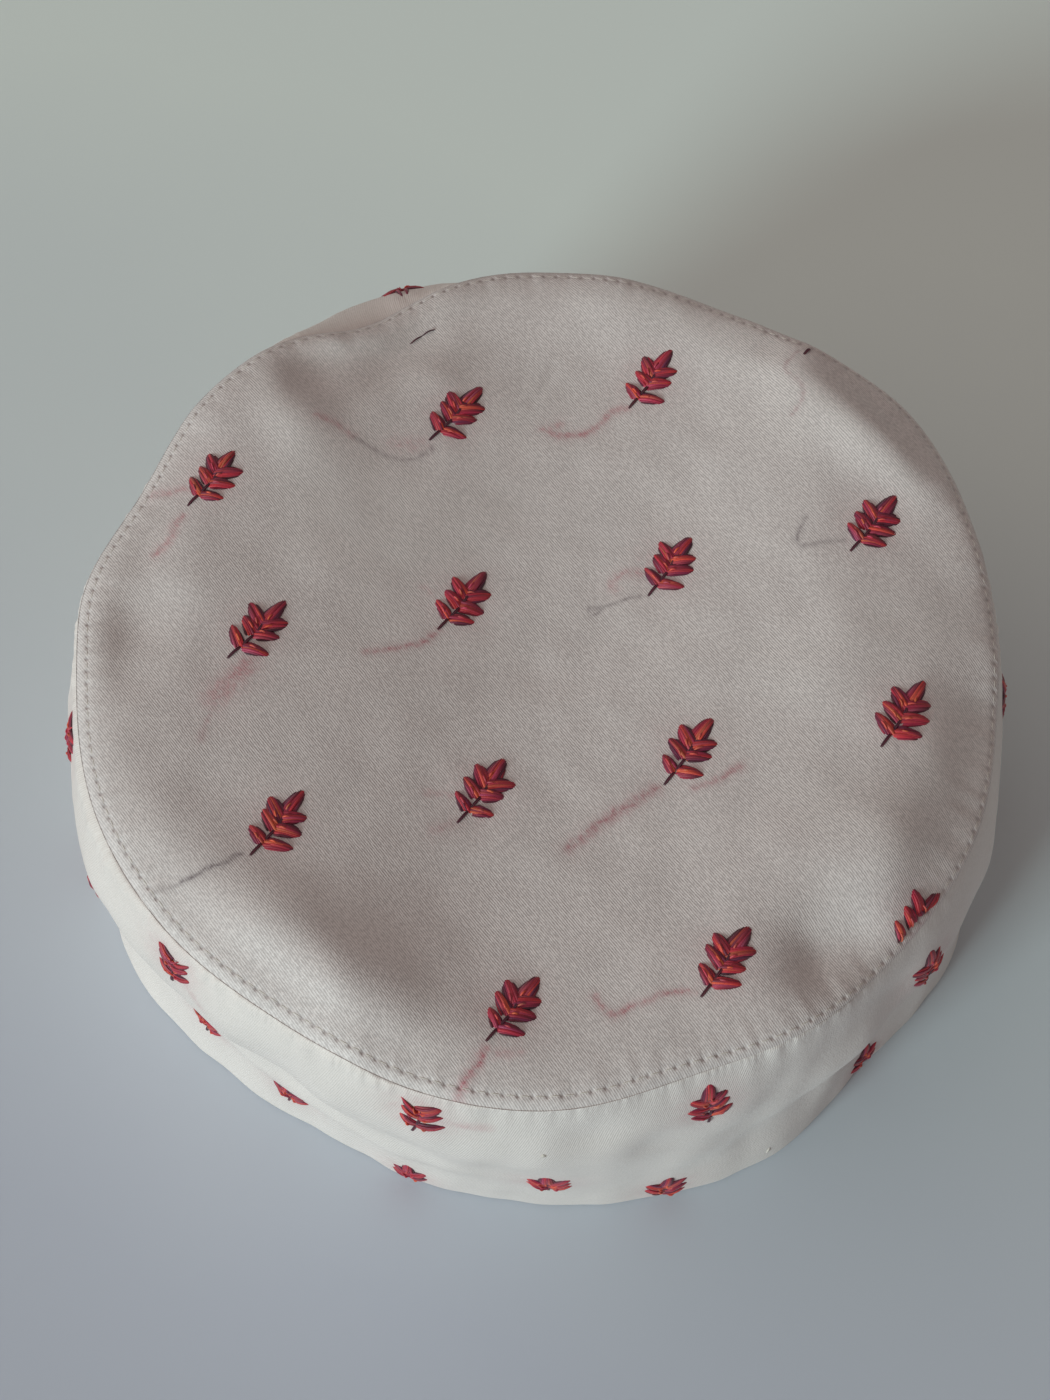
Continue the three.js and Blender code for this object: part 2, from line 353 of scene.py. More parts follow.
def normals_of(cloth):
    normals = np.zeros(len(cloth.data.vertices) * 3)
    cloth.data.vertex_normals.foreach_get("vector", normals)
    return normals.reshape(-1, 3)


def hill(distance, width):
    """A smooth hill that is 1 at no distance and has fallen to 0.37 at the width."""
    return np.exp(-((distance / width) ** 2))


def fades(value, low, high):
    """A smooth step from 0 at low to 1 at high."""
    share = np.clip((value - low) / (high - low), 0, 1)
    return share * share * (3 - 2 * share)


def unevenness(places, seed):
    """Smooth noise from about -1 to 1 for each row of three numbers."""
    shift = Vector((seed, seed * 1.7, seed * 0.3))
    return np.array([noise.noise(Vector(place) + shift) for place in places])


# %% [markdown]
# ## Finer cloth along the seam and the carried threads
# The needle's pits and the short puckers under the seam are less than a millimetre wide, and so is the
# floss that shows through the cloth. Only there, the mesh is cut once or twice more, because a mesh as
# fine as that all over would be too heavy.

# %% List the threads carried behind the crown
CARRIED = [
    {"pink": 0.0, "dark": 0.9, "width": 0.55,
     "path": [(-55.0, -43.8), (-58.5, -45.6), (-62.0, -47.2), (-66, -48.9)]},
    {"pink": 0.0, "dark": 0.45, "width": 0.5,
     "path": [(-66, -48.9), (-68.5, -49.7), (-71.5, -50.3)]},
    {"pink": 0.7, "dark": 0.0, "width": 2.9,
     "path": [(-56.0, -4.5), (-59.0, -8.0), (-61.5, -11.5)]},
    {"pink": 0.3, "dark": 0.15, "width": 0.9,
     "path": [(-61.0, -11.5), (-62.8, -16.0), (-64.0, -20.0)]},
    {"pink": 0.35, "dark": 0.0, "width": 0.8,
     "path": [(-16.0, -30.5), (-18.5, -30.0), (-21.5, -30.0)]},
    {"pink": 0.3, "dark": 0.1, "width": 1.6,
     "path": [(-15.5, -36.0), (-19.5, -37.5)]},
    {"pink": 0.85, "dark": 0.25, "width": 1.15,
     "path": [(22.0, -29.0), (18, -31.7), (13.0, -35.0), (8, -39), (5.5, -41)]},
    {"pink": 0.7, "dark": 0.1, "width": 0.9,
     "path": [(29.5, -29.0), (33.0, -28.0), (36.0, -26.2), (38.0, -25.0)]},
    {"pink": 0.9, "dark": 0.05, "width": 0.65,
     "path": [(28, -69.5), (22.5, -70), (17, -72), (13, -73.5), (11, -72), (10, -70)]},
    {"pink": 1.0, "dark": 0.1, "width": 1.0,
     "path": [(-10.0, -80.0), (-12.0, -83.8), (-14.0, -87.2), (-14.4, -88.6)]},
    {"pink": 0.4, "dark": 0.0, "width": 1.2,
     "path": [(-8.5, -81.0), (-3.5, -80.5)]},
    {"pink": 0.0, "dark": 0.3, "width": 0.6,
     "path": [(67.0, -20.0), (68.0, -23.5), (71.0, -27.0)]},
    {"pink": 0.75, "dark": 0.1, "width": 0.8,
     "path": [(-19.5, 4.5), (-22.5, 2.0), (-27.0, 0.3), (-33.0, -0.8)]},
    {"pink": 0.3, "dark": 0.0, "width": 0.8,
     "path": [(-19.5, 11.0), (-21.5, 13.2), (-23.0, 14.2)]},
    {"pink": 0.0, "dark": 0.55, "width": 0.45,
     "path": [(20.0, 12.2), (16.5, 11.4), (13, 10), (11, 8.6), (10, 9.8), (12, 9.8)]},
    {"pink": 0.5, "dark": 0.0, "width": 1.1,
     "path": [(20.5, 17.0), (17.0, 17.4), (14.5, 15.6), (15.0, 13.6)]},
    {"pink": 0.1, "dark": 0.6, "width": 0.5,
     "path": [(-21.5, 46.2), (-24, 43.6), (-27, 42.7), (-31, 43.6), (-37.5, 47.6)]},
    {"pink": 0.6, "dark": 0.1, "width": 0.8,
     "path": [(-37.5, 47.6), (-41.5, 50.2), (-45.0, 51.4)]},
    {"pink": 0.35, "dark": 0.0, "width": 2.2,
     "path": [(-23.5, 46.5), (-29.0, 46.5)]},
    {"pink": 0.8, "dark": 0.05, "width": 0.9,
     "path": [(18.0, 55), (14.8, 54.3), (12.5, 51.4), (8.5, 49.2), (4, 49.2), (1, 50.6)]},
    {"pink": 0.5, "dark": 0.0, "width": 1.3,
     "path": [(1.0, 50.6), (4.5, 51.6)]},
    {"pink": 0.0, "dark": 0.7, "width": 0.5,
     "path": [(60, 22), (54.5, 21.3), (51.3, 21.0), (51.0, 24.0), (52.5, 27.0)]},
    {"pink": 0.7, "dark": 0.0, "width": 0.9,
     "path": [(-70.5, 28.5), (-72.0, 26.5), (-73.0, 23.0), (-75.5, 19.8)]},
    {"pink": 0.6, "dark": 0.0, "width": 1.2,
     "path": [(-71.0, 35.0), (-77.0, 34.6)]},
    {"pink": 0.35, "dark": 0.3, "width": 0.45,
     "path": [(51, 50), (53, 53), (52.5, 57), (50, 60), (50.5, 62.2), (53, 65)]},
]


def smooth_path(path, steps=6):
    """More points on a smooth line through the path's own, by one Catmull and Rom spline a stretch."""
    points = np.array([path[0], *path, path[-1]], float)
    made = [points[1]]
    for a, b, c, d in zip(points, points[1:], points[2:], points[3:]):
        for t in np.linspace(0, 1, steps + 1)[1:]:
            made.append(0.5 * (2 * b + (c - a) * t + (2 * a - 5 * b + 4 * c - d) * t ** 2
                               + (3 * b - a - 3 * c + d) * t ** 3))
    return np.array(made)


def distance_to_line(points, start, end):
    start, end = np.array(start), np.array(end)
    along = np.clip(((points - start) @ (end - start)) / ((end - start) @ (end - start)), 0, 1)
    return np.linalg.norm(points - (start + along[:, None] * (end - start)), axis=1)


def distance_to_path(points, path):
    return np.min([distance_to_line(points, start, end) for start, end in zip(path, path[1:])], axis=0)


for thread_run in CARRIED:
    thread_run["line"] = smooth_path(thread_run["path"])
print("behind the crown run", len(CARRIED), "stretches of thread")

# %% Cut the cloth finer there
STITCHES = 210
STITCH_ROW_RADIUS = 87
STITCH_LENGTH = 2 * math.pi * STITCH_ROW_RADIUS / STITCHES
STITCH_INSETS = {-180: 2.9, -78: 2.9, -62: 1.9, -50: 1.4, -12: 1.4, 12: 1.9, 50: 2.0, 90: 2.6, 179: 2.9}
NEAR_THREAD = 1.6
NEAR_ROW = 1.2
VERY_NEAR_ROW = 0.75
INSIDE_ROW = 4.2
BAND_TOP_FROM = (66.5, 68.4)


def stitch_inset(azimuth):
    """How far inside the seam the needle ran. On the right the edge rolls over nearer to it."""
    return np.interp(azimuth, list(STITCH_INSETS), list(STITCH_INSETS.values()), period=360)


def pit_distance(azimuth, from_row):
    """Millimetres from a point of the crown to the nearest needle pit."""
    along_row = (azimuth / 360 * STITCHES + 0.5) % 1 - 0.5
    return np.hypot(along_row * STITCH_LENGTH, from_row)


def refine(cloth, chosen):
    """Cuts the edges between chosen points once."""
    shape = bmesh.new()
    shape.from_mesh(cloth.data)
    bmesh.ops.subdivide_edges(
        shape, edges=[edge for edge in shape.edges if all(chosen[vertex.index] for vertex in edge.verts)],
        cuts=1, use_grid_fill=True, smooth=0)
    shape.to_mesh(cloth.data)
    shape.free()


points, normals = points_of(crown_cloth), normals_of(crown_cloth)
azimuth, radius = polar(points)
inset = seam_radius(azimuth) - radius
flat = points[:, :2] - CENTRE
near_thread = np.min([distance_to_path(flat, run["line"]) for run in CARRIED], axis=0) < NEAR_THREAD
from_row = np.abs(inset - stitch_inset(azimuth))
wanted = (from_row < NEAR_ROW) | (near_thread & (inset > INSIDE_ROW))
refine(crown_cloth, (normals[:, 2] > 0.2) & wanted)
points, normals = points_of(crown_cloth), normals_of(crown_cloth)
azimuth, radius = polar(points)
from_row = np.abs(seam_radius(azimuth) - radius - stitch_inset(azimuth))
refine(crown_cloth, (normals[:, 2] > 0.2) & (from_row < VERY_NEAR_ROW))
for lowest in BAND_TOP_FROM:
    points, normals = points_of(band_cloth), normals_of(band_cloth)
    turn = np.radians(polar(points)[0])
    facing = normals[:, 0] * np.cos(turn) + normals[:, 1] * np.sin(turn)
    refine(band_cloth, (facing > 0.1) & (points[:, 2] > lowest))
for cloth in (crown_cloth, band_cloth):
    print(cloth.name, "now has", triangles(cloth), "triangles")

# %% [markdown]
# ## Slow swells
# The crown is a slack disc, so it sags and swells by a few millimetres over the hollow of the cap, and low
# light shows each swell as a bright and a dark side. Every swell is a smooth hill or dip along a line. The
# top of the band is sewn to the crown and moves with it, and its foot stays on the table.

# %% Raise and lower both cloths in slow swells
SWELLS = [
    {"height": -3.0, "width": 34, "path": [(0, 68), (3, -68)]},
    {"height": 4.0, "width": 14, "path": [(20, 86), (54, 71)]},
    {"height": 1.5, "width": 8, "path": [(50, 78), (72, 56), (87, 22)]},
    {"height": 1.2, "width": 6, "path": [(54, 62), (78, 34)]},
    {"height": 1.4, "width": 25, "path": [(66, 66), (84, 34)]},
    {"height": 1.9, "width": 15, "path": [(46, 66), (60, 0)]},
    {"height": 3.2, "width": 13, "path": [(-41, 72), (-35, 75)]},
    {"height": 2.7, "width": 10, "path": [(-33, 67), (-31, 65)]},
    {"height": -1.3, "width": 6, "path": [(-48, 66), (-47, 62)]},
    {"height": 0.8, "width": 6, "path": [(-18, 84), (-20, 64)]},
    {"height": 1.0, "width": 9, "path": [(-78, -36), (-86, -4)]},
    {"height": -3.4, "width": 9, "path": [(87, -14), (80, -44), (73, -60)]},
    {"height": 2.3, "width": 13, "path": [(49, -54), (51, -52)]},
    {"height": -3.4, "width": 7.5, "path": [(52, -63), (58, -61)]},
    {"height": 0.9, "width": 6, "path": [(-56, 65), (-66, 54)]},
    {"height": 0.9, "width": 5, "path": [(-77, 14), (-75, 15)]},
    {"height": 1.0, "width": 8, "path": [(-47, -57), (-30, -70)]},
    {"height": 1.0, "width": 7, "path": [(-37, -70), (-34, -86)]},
    {"height": 0.9, "width": 10, "path": [(-71, 21), (-66, 15)]},
]


def swell(flat):
    """Millimetres by which the swells raise each place."""
    return sum(dip["height"] * hill(distance_to_path(flat, dip["path"]), dip["width"]) for dip in SWELLS)


SWELL_SHARES = (
    (crown_cloth, lambda height: 1),
    (band_cloth, lambda height: fades(height, 15, 70)),
)
for cloth, share_of in SWELL_SHARES:
    points = points_of(cloth)
    moves = swell(points[:, :2] - CENTRE) * share_of(points[:, 2])
    points[:, 2] += moves
    set_points(cloth, points)
    print(cloth.name, "swells by", moves.min().round(2), "to", moves.max().round(2), "mm")

# %% [markdown]
# ## Wrinkles on the crown
# The topstitches pull the crown down in a fine groove, with a pit where the needle went in and a lip that
# slopes away outside it. Short puckers run across the seam, the slack middle is softly uneven, and one
# short crease lies near the back. Each of these is a hill or smooth noise, and their sum is added to the
# height of the upper face. The turned edge is pressed thinner from below.

# %% Wrinkle the crown
GROOVE_DEPTH = 0.12
PIT_DEPTH = 0.26
LIP_THINNING = 0.7
LIP_SLOPE = 0.55
PUCKER_HEIGHT = 0.22
SLOW_HEIGHT = 0.5
QUICK_HEIGHT = 0.19
CREASE_DEPTH = 0.26
CROWN_RADIUS = 90
CREASE = ((3.5, 66.0), (1.2, 60.5), (-1.4, 57.0))


def thinned(inset):
    """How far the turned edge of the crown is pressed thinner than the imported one, from below."""
    return LIP_THINNING * (1 - fades(inset, 3.0, 6.5)) * fades(inset, 0.9, 2.0)


points, normals = points_of(crown_cloth), normals_of(crown_cloth)
azimuth, radius = polar(points)
inset = seam_radius(azimuth) - radius
upper = fades(normals[:, 2], 0.1, 0.5)
turn = np.radians(azimuth)
ring = np.column_stack([np.cos(turn), np.sin(turn)]) * CROWN_RADIUS
from_row = inset - stitch_inset(azimuth)
from_pit = pit_distance(azimuth, from_row)
puckers = unevenness(np.column_stack([ring / 2.4, inset / 14]), 3.0)
slow = unevenness(points / 26, 11.0)
quick = unevenness(points / 7.5, 17.0)
flat = points[:, :2] - CENTRE
lift = (
    -GROOVE_DEPTH * hill(from_row, 0.8)
    - PIT_DEPTH * (1 + 0.6 * puckers) * hill(from_pit, 0.4)
    - LIP_SLOPE * fades(stitch_inset(azimuth) - inset, 0, 2.6)
    + PUCKER_HEIGHT * puckers * hill(inset - 3.5, 3.5)
    + SLOW_HEIGHT * slow * fades(inset, 2, 12)
    + QUICK_HEIGHT * quick * fades(inset, 3, 10)
    - CREASE_DEPTH * hill(distance_to_path(flat, CREASE), 0.9)
)
points[:, 2] += lift * upper + thinned(inset) * (1 - upper)
set_points(crown_cloth, points)
print("the crown's wrinkles lift it by", lift.min().round(2), "to", lift.max().round(2), "mm")

# %% [markdown]
# ## Wrinkles on the band
# The band hangs from the seam, so fine gathers and puckers start there and fade on the way down. The strip
# was cut on the bias, so its slow waves lean. The bulges and hollows that the picture shows are hills with
# a place of their own. Only the gathers stay on the outer face. All else moves both faces together, so the
# wall keeps its thickness.

# %% Wrinkle the band
SEAM_HEIGHT = 75.0
BAND_RADIUS = 92
GATHER_HEIGHT = 0.22
PUCKER_REACH = 0.5
DRAG_REACH = 0.8
BIAS_WAVE_REACH = 0.5
FINE_REACH = 0.12
FULLNESS_AT_SEAM = 0.6
BULGES = [
    {"azimuth": -42, "height": 46, "reach": (12, 16), "out": 1.8},
    {"azimuth": -153, "height": 58, "reach": (9, 12), "out": 2.0},
    {"azimuth": -125, "height": 28, "reach": (26, 7), "out": 2.6},
    {"azimuth": -84, "height": 61, "reach": (3.5, 5), "out": -0.9},
    {"azimuth": -76, "height": 50, "reach": (4, 6), "out": -1.0},
    {"azimuth": -66, "height": 40, "reach": (5, 7), "out": -0.9},
    {"azimuth": 102, "height": 59, "reach": (6, 6), "out": 5.5},
]

points, normals = points_of(band_cloth), normals_of(band_cloth)
azimuth, radius = polar(points)
turn = np.radians(azimuth)
outward = np.column_stack([np.cos(turn), np.sin(turn), np.zeros(len(turn))])
down = SEAM_HEIGHT - points[:, 2]
arc = np.column_stack([np.cos(turn), np.sin(turn)]) * BAND_RADIUS
facing = fades((normals * outward).sum(axis=1), 0.0, 0.4)
bias = np.column_stack([arc / 9, down / 22 + np.radians(azimuth) * 4])
gathers = unevenness(np.column_stack([arc / 0.8, down / 30]), 7.0)
puckers = unevenness(np.column_stack([arc / 2.8, down / 30]), 5.0)
drags = unevenness(np.column_stack([arc / 11, down / 60]), 23.0)
lift = (
    GATHER_HEIGHT * gathers * facing * hill(down - 4.2, 2.4)
    + PUCKER_REACH * puckers * np.exp(-np.maximum(down - 3, 0) / 7) * fades(down, 2, 6)
    + DRAG_REACH * drags * fades(down, 4, 25) * (1 - 0.4 * fades(down, 45, 70))
    + BIAS_WAVE_REACH * unevenness(bias, 31.0) * fades(down, 5, 20)
    + FINE_REACH * unevenness(points / 6, 37.0)
    + FULLNESS_AT_SEAM * hill(down - 4.0, 2.2)
)
for bulge in BULGES:
    turned_by = turn_between(azimuth, bulge["azimuth"])
    risen_by = points[:, 2] - bulge["height"]
    wide, tall = bulge["reach"]
    lift += bulge["out"] * hill(turned_by, wide) * hill(risen_by, tall)
points += outward * lift[:, None]
print("the band's wrinkles move it by", lift.min().round(2), "to", lift.max().round(2), "mm")

# %% [markdown]
# ## Closing the seam
# The crown's lip and the top of the band are sewn together, so no gap shows between them. The swells and
# wrinkles have moved each of them a little. So the lowest point of the lip and the highest of the band
# are measured all round, and the band's top is raised into the lip, less and less on the way down.

# %% Raise the band's top into the lip
LIP_HOLDS = 0.45
LIP_WIDTH = 2.5
NEARBY_DEGREES = 2.5

lip_points = points_of(crown_cloth)
lip_azimuth, lip_radius = polar(lip_points)
at_lip = seam_radius(lip_azimuth) - lip_radius < LIP_WIDTH
lip_foot, band_top = [], []
for step in seam_steps:
    near = np.abs(turn_between(lip_azimuth, step)) < NEARBY_DEGREES
    lip_foot.append(lip_points[near & at_lip, 2].min())
    near = np.abs(turn_between(azimuth, step)) < NEARBY_DEGREES
    band_top.append(points[near, 2].max())
closing = np.array(lip_foot) + LIP_HOLDS - band_top
top_here = np.interp(azimuth, seam_steps, band_top, period=360)
closing_here = np.interp(azimuth, seam_steps, closing, period=360)
points[:, 2] += closing_here * (1 - fades(top_here - points[:, 2], 1.0, 9.0))
print("the band's top rises by", closing.min().round(2), "to", closing.max().round(2), "mm to meet the lip")
set_points(band_cloth, points)

for cloth in (crown_cloth, band_cloth):
    for face in cloth.data.polygons:
        face.use_smooth = True

# %% [markdown]
# ## Laying thread on the cloth
# A stitch is a short strand of floss. One strand is spun from a circle that is extruded ring by ring and
# narrowed at both ends. It is then copied for every stitch, and each copy is bent along the cloth. Curves
# with a round profile would give strands too, but not flat ones that share one small mesh.

# %% Make one strand of thread
RINGS = 7
SIDES = 6


def one_strand():
    """A strand of unit length along X with rings of unit radius, as a mesh."""
    shape = bmesh.new()
    circle = bmesh.ops.create_circle(shape, segments=SIDES, radius=1.0)["verts"]
    bmesh.ops.rotate(shape, verts=circle, matrix=Matrix.Rotation(math.pi / 2, 3, "Y"))
    bmesh.ops.scale(shape, verts=circle, vec=(1, 0.35, 0.35))
    edges = shape.edges[:]
    first = bmesh.ops.edgeloop_fill(shape, edges=edges)["faces"]
    bmesh.ops.reverse_faces(shape, faces=first)
    widths = [0.35, 0.85, 1.0, 1.0, 1.0, 0.85, 0.35]
    for before, after in zip(widths, widths[1:]):
        grown = bmesh.ops.extrude_edge_only(shape, edges=edges)["geom"]
        circle = [part for part in grown if isinstance(part, bmesh.types.BMVert)]
        edges = [part for part in grown if isinstance(part, bmesh.types.BMEdge)
                 and all(vertex in circle for vertex in part.verts)]
        bmesh.ops.translate(shape, verts=circle, vec=(1 / (RINGS - 1), 0, 0))
        bmesh.ops.scale(shape, verts=circle, vec=(1, after / before, after / before))
    bmesh.ops.edgeloop_fill(shape, edges=edges)
    bmesh.ops.recalc_face_normals(shape, faces=shape.faces)
    mesh = bpy.data.meshes.new("strand")
    shape.to_mesh(mesh)
    shape.free()
    return mesh


strand = one_strand()
strand_points = np.array([vertex.co for vertex in strand.vertices])
strand_ring = np.round(strand_points[:, 0] * (RINGS - 1)).astype(int)
print("a strand has", len(strand.polygons), "faces")

# %% [markdown]
# ## Finding the cloth under a stitch
# The ends of a stitch are given on the crown in millimetres from its middle, and on the band as an azimuth
# and a height. A ray that is sent at the cloth, from outside or from within, finds the point of the
# surface there and its normal. A tree of the faces makes thousands of rays quick. The Shrinkwrap modifier
# does the same for a whole mesh, but it doesn't tell the normal that a strand needs to lie flat.

# %% Find the surface of a cloth
ABOVE_CAP = 0.2
INSIDE_CAP = 0.03
BESIDE_CAP = 0.15


def tree_of(cloth):
    shape = bmesh.new()
    shape.from_mesh(cloth.data)
    tree = BVHTree.FromBMesh(shape)
    shape.free()
    return tree


crown_tree, band_tree = tree_of(crown_cloth), tree_of(band_cloth)


def on_crown(x, y):
    """The point and normal of the crown over a place in millimetres from its middle."""
    start = Vector(((x + CENTRE[0]) * MM, (y + CENTRE[1]) * MM, ABOVE_CAP))
    point, normal, *_ = crown_tree.ray_cast(start, Vector((0, 0, -1)))
    return point, normal


def under_crown(x, y):
    """The same on the crown's lower face, seen from inside the cap."""
    start = Vector(((x + CENTRE[0]) * MM, (y + CENTRE[1]) * MM, INSIDE_CAP))
    point, normal, *_ = crown_tree.ray_cast(start, Vector((0, 0, 1)))
    return point, normal


def outward_at(azimuth):
    azimuth = math.radians(azimuth)
    return Vector((math.cos(azimuth), math.sin(azimuth), 0))


def on_band(azimuth, height):
    """The point and normal of the band's outer face at an azimuth and a height in millimetres."""
    middle = Vector((CENTRE[0] * MM, CENTRE[1] * MM, height * MM))
    point, normal, *_ = band_tree.ray_cast(middle + outward_at(azimuth) * BESIDE_CAP, -outward_at(azimuth))
    return point, normal


def in_band(azimuth, height):
    """The same on the band's inner face."""
    middle = Vector((CENTRE[0] * MM, CENTRE[1] * MM, height * MM))
    point, normal, *_ = band_tree.ray_cast(middle, outward_at(azimuth))
    return point, normal


print("the crown's middle is", round(on_crown(0, 0)[0].z / MM, 1), "mm high")

# %% Bend copies of the strand along the cloth
RING_SHARES = np.linspace(0, 1, RINGS)


def bent(stitch, found):
    """The points and colours of one strand, bent along the points and normals that its rays found."""
    middle = np.array([point for point, _ in found])
    normal = np.array([normal for _, normal in found])
    along = np.gradient(middle, axis=0)
    side = np.cross(normal, along)
    side /= np.linalg.norm(side, axis=1)[:, None]
    arch = (np.sin(RING_SHARES * np.pi) * (stitch["arch"] + stitch["sunk"]) - stitch["sunk"]) * MM
    middle = middle + normal * arch[:, None]
    places = (middle[strand_ring]
              + side[strand_ring] * (strand_points[:, 1:2] * stitch["half_width"] * MM)
              + normal[strand_ring] * (strand_points[:, 2:3] * stitch["half_height"] * MM))
    blend = RING_SHARES[strand_ring][:, None] ** 1.5
    first, last = np.array(stitch["colours"])
    colours = np.hstack([first * (1 - blend) + last * blend, np.ones((len(blend), 1))])
    return places, colours


def lay(name, stitches, surface):
    """One piece from many stitches. A stitch is its two ends, its half width and height, its arch, how
    deep its ends are sunk, and its two colours."""
    laid = []
    for stitch in stitches:
        start, end = np.array(stitch["start"]), np.array(stitch["end"])
        found = [surface(*(start + (end - start) * share)) for share in RING_SHARES]
        if all(point for point, _ in found):
            laid.append(bent(stitch, found))
    shape = bmesh.new()
    for _ in laid:
        shape.from_mesh(strand)
    piece = bpy.data.objects.new(name, bpy.data.meshes.new(name))
    bpy.context.scene.collection.objects.link(piece)
    shape.to_mesh(piece.data)
    shape.free()
    places, colours = zip(*laid)
    piece.data.vertices.foreach_set("co", np.vstack(places).ravel())
    layer = piece.data.color_attributes.new("floss_colour", "FLOAT_COLOR", "POINT")
    layer.data.foreach_set("color", np.vstack(colours).ravel())
    shape = bmesh.new()
    shape.from_mesh(piece.data)
    bmesh.ops.recalc_face_normals(shape, faces=shape.faces)
    shape.to_mesh(piece.data)
    shape.free()
    for face in piece.data.polygons:
        face.use_smooth = True
    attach(piece, "root")
    print(name, "has", len(laid), "of", len(stitches), "stitches and", triangles(piece), "triangles")
    return piece


# %% [markdown]
# ## The topstitches
# A sewing machine ran round the crown just inside its edge with a fine thread of the cloth's own colour.
# Its stitches lie nearly flush, from pit to pit, so the eye sees the pits more than the thread.

# %% Sew the topstitches
COTTON = (0.66, 0.61, 0.57)
STITCH_ENDS = (0.06, 0.94)


def topstitch(number):
    azimuth = 360 * number / STITCHES
    ends = []
    for step in STITCH_ENDS:
        there = azimuth + step * 360 / STITCHES
        reach = seam_radius(there) - stitch_inset(there)
        ends.append((reach * math.cos(math.radians(there)), reach * math.sin(math.radians(there))))
    return {"start": ends[0], "end": ends[1], "half_width": 0.1, "half_height": 0.07, "arch": 0.0,
            "sunk": 0.07, "colours": (COTTON, COTTON)}


topstitches = lay("topstitches", [topstitch(number) for number in range(STITCHES)], on_crown)

# %% [markdown]
# ## The sprigs
# Each sprig is a bare stem with seven leaflets, worked by hand in variegated red silk floss. Its strands are
# orange red and crimson inside and plum and dark maroon at the edges and tips. This is partly the floss's own
# colour, and partly painted shade at the edges and painted highlight in the middle. A leaflet is a bundle of
# straight stitches that run along it, so it is built that way, strand by strand.

# %% Draw one sprig as stitches
SPRIG_STEM = [(-0.3, -8.0), (0.1, -4.4), (0.5, -0.8), (0.2, 2.8)]
LEAFLETS = [
    {"base": (0.6, -4.6), "tip": (-4.0, -2.3), "width": 2.6},
    {"base": (-0.3, -4.4), "tip": (5.1, -2.3), "width": 2.6},
    {"base": (1.0, -1.2), "tip": (-4.3, 0.9), "width": 3.2},
    {"base": (-0.6, -1.2), "tip": (4.8, 1.2), "width": 3.1},
    {"base": (1.1, 0.7), "tip": (-4.2, 4.0), "width": 3.5},
    {"base": (-0.9, 0.7), "tip": (4.4, 4.5), "width": 3.5},
    {"base": (0.1, 1.4), "tip": (0.4, 8.1), "width": 3.6},
]
ORANGE = (0.78, 0.12, 0.05)
SCARLET = (0.62, 0.035, 0.045)
CRIMSON = (0.41, 0.015, 0.050)
PLUM = (0.18, 0.013, 0.050)
MAROON = (0.070, 0.011, 0.022)
ROSE = (0.56, 0.065, 0.12)
# Partly painted light: the edge strands are dark plum and maroon as painted shade where the leaflet turns
# down, and the middle ones orange and scarlet as painted highlight, over the floss's own varied red.
ACROSS = [
    {"place": -1.0, "colours": [(MAROON, MAROON), (PLUM, MAROON), (CRIMSON, MAROON)]},
    {"place": -0.72, "colours": [(CRIMSON, PLUM), (SCARLET, CRIMSON), (PLUM, MAROON)]},
    {"place": -0.43, "colours": [(SCARLET, CRIMSON), (CRIMSON, PLUM), (ORANGE, CRIMSON)]},
    {"place": -0.14, "colours": [(ORANGE, CRIMSON), (ROSE, CRIMSON), (PLUM, SCARLET)]},
    {"place": 0.14, "colours": [(CRIMSON, SCARLET), (ORANGE, SCARLET), (SCARLET, PLUM)]},
    {"place": 0.43, "colours": [(SCARLET, CRIMSON), (ROSE, CRIMSON), (CRIMSON, MAROON)]},
    {"place": 0.72, "colours": [(CRIMSON, CRIMSON), (PLUM, PLUM), (ROSE, MAROON)]},
    {"place": 1.0, "colours": [(PLUM, MAROON), (MAROON, MAROON), (CRIMSON, MAROON)]},
]
HIGHLIGHT_FLECKS = [(ORANGE, ORANGE), (ROSE, SCARLET), (ORANGE, ROSE)]


def varied(colour, chance, amount=0.25):
    """The colour, with each part made a little stronger or weaker."""
    return tuple(part * chance.uniform(1 - amount, 1 + amount) for part in colour)


def stitch_between(start, end, half_width, arch, colours, chance):
    return {"start": start, "end": end, "half_width": half_width, "half_height": 0.2, "arch": arch,
            "sunk": 0.15, "colours": tuple(varied(colour, chance) for colour in colours)}


def leaflet(leaf, chance):
    """Strands side by side from the leaflet's base to its tip, and one bright strand on top, partly a painted
    highlight.
    """
    base = np.array(leaf["base"]) + [chance.uniform(-0.3, 0.3) for _ in "xy"]
    tip = np.array(leaf["tip"]) + [chance.uniform(-0.55, 0.55) for _ in "xy"]
    length = np.linalg.norm(tip - base)
    along = (tip - base) / length
    side = np.array([-along[1], along[0]]) * leaf["width"] / 2 * chance.uniform(0.92, 1.18)
    flip = chance.choice((-1, 1))
    made = []
    for row in ACROSS:
        place = row["place"]
        offset = side * place * flip
        start = base + offset * 0.85 + along * (0.9 * place * place + chance.uniform(-0.5, 0.3))
        end = tip + offset * 0.5 - along * 1.5 * place * place * chance.uniform(0.5, 1.1)
        arch = 0.5 - 0.35 * place * place + chance.uniform(-0.12, 0.12)
        made.append(stitch_between(start, end, 0.33, arch, chance.choice(row["colours"]), chance))
    # One bright strand on top, partly the floss's colour and partly a painted highlight.
    offset = side * chance.uniform(-0.5, 0.5)
    start = base + along * 1.2 + offset
    end = base + along * chance.uniform(3.0, 4.2) + offset * 0.4
    made.append(stitch_between(start, end, 0.19, 0.78, chance.choice(HIGHLIGHT_FLECKS), chance))
    return made


def sprig(chance):
    made = []
    for start, end in zip(SPRIG_STEM, SPRIG_STEM[1:]):
        for across in (-0.12, 0.12):
            made.append(stitch_between(np.array(start) + (across, 0), np.array(end) + (across, 0.3), 0.17,
                                       0.3, (MAROON, MAROON if across < 0 else PLUM), chance))
    for leaf in LEAFLETS:
        made += leaflet(leaf, chance)
    return made


print("a sprig has", len(sprig(random.Random(1))), "stitches")

